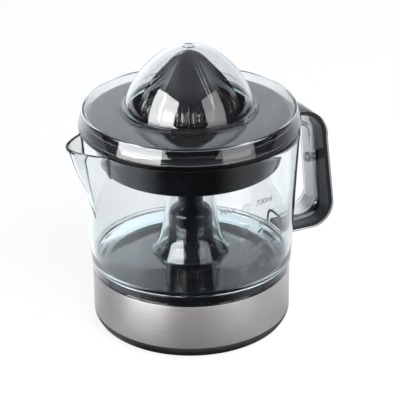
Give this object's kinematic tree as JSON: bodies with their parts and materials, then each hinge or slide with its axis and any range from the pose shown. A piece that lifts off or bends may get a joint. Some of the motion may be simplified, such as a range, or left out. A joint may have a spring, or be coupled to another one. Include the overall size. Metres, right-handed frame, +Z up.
{
  "type": "citrus press juicer",
  "caption": "Electric citrus press: steel-banded motor base, clear graduated jug with spout and handle, pulp strainer, ridged reamer cone and clear domed lid.",
  "frame": {"origin": "on the drive axis, at the surface that the foot ring stands on", "axes": "+Z up along the drive axis, +X towards the handle, -X towards the spout, +Y across"},
  "size_m": [0.1893, 0.1438, 0.1918],
  "materials": {
    "black_gloss": "high gloss",
    "strainer_black": "high gloss",
    "cone_black": "high gloss",
    "brushed_steel": "fine vertical-lit circumferential brushing",
    "grey_plastic": "fine texture",
    "black_matte": "satin",
    "rubber": "matt",
    "clear_plastic": "clear, polished",
    "clear_lid": "clear, polished",
    "zinc_screw": "zinc plated",
    "zinc_plate": "zinc plated sheet",
    "shaft_steel": "ground",
    "bronze": "sintered",
    "copper_winding": "enamelled wire",
    "gear_acetal": "moulded, greased"
  },
  "bodies": {
    "base": {"base_housing": "black_gloss", "steel_band": "brushed_steel", "bottom_cover": "grey_plastic", "foot_ring": "rubber", "cover_screws": "zinc_screw", "cord_gland": "rubber", "gear_plate": "zinc_plate", "plate_screws": "zinc_screw", "motor_can": "zinc_plate", "motor_coil": "copper_winding", "motor_screws": "zinc_screw", "idler_axle": "shaft_steel", "lower_bush": "bronze", "upper_bush": "bronze", "shaft_seal": "rubber", "switch_body": "black_matte"},
    "rotor": {"motor_rotor": "shaft_steel", "motor_pinion": "bronze"},
    "idler": {"idler_gear": "gear_acetal"},
    "output": {"output_gear": "gear_acetal", "return_spring": "shaft_steel"},
    "shaft": {"drive_shaft": "shaft_steel", "drive_pin": "shaft_steel", "drive_spindle": "black_matte", "retaining_ring": "shaft_steel"},
    "lever": {"switch_lever": "zinc_plate"},
    "jug": {"jug": "clear_plastic", "handle_cover": "black_gloss", "handle_screw": "zinc_screw"},
    "strainer": {"strainer": "strainer_black"},
    "cone": {"small_cone": "black_matte", "large_cone": "cone_black"},
    "lid": {"lid": "clear_lid"}
  },
  "joints": [
    {"name": "output_spin", "type": "hinge", "parent": "base", "child": "output", "pos_m": [0, 0, 0.036], "axis": [0, 0, 1], "continuous": true},
    {"name": "idler_spin", "type": "hinge", "parent": "base", "child": "idler", "pos_m": [-0.02141, 0.02101, 0.034], "axis": [0, 0, 1], "continuous": true},
    {"name": "rotor_spin", "type": "hinge", "parent": "base", "child": "rotor", "pos_m": [-0.033, 0, 0.02], "axis": [0, 0, 1], "continuous": true},
    {"name": "shaft_press", "type": "slide", "parent": "output", "child": "shaft", "axis": [0, 0, -1], "range_m": [0, 0.002], "stiffness_N_per_m": 3000, "springref_m": -0.003, "deforming": ["return_spring"]},
    {"name": "lever_tilt", "type": "hinge", "parent": "base", "child": "lever", "pos_m": [0.021, 0, 0.0169], "axis": [0, -1, 0], "range_deg": [0, 5.6]},
    {"name": "jug_lift", "type": "slide", "parent": "base", "child": "jug", "axis": [0, 0, 1], "range_m": [0, 0.1]},
    {"name": "strainer_lift", "type": "slide", "parent": "jug", "child": "strainer", "axis": [0, 0, 1], "range_m": [0, 0.06]},
    {"name": "cone_spin", "type": "hinge", "parent": "strainer", "child": "cone", "pos_m": [0, 0, 0.12], "axis": [0, 0, 1], "continuous": true},
    {"name": "lid_lift", "type": "slide", "parent": "strainer", "child": "lid", "axis": [0, 0, 1], "range_m": [0, 0.06]}
  ],
  "couplings": [
    {"joint": "idler_spin", "follows": "output_spin", "ratio": -4},
    {"joint": "rotor_spin", "follows": "output_spin", "ratio": 16},
    {"joint": "cone_spin", "follows": "output_spin", "ratio": 1},
    {"joint": "lever_tilt", "follows": "shaft_press", "rad_per_m": 47.6}
  ]
}
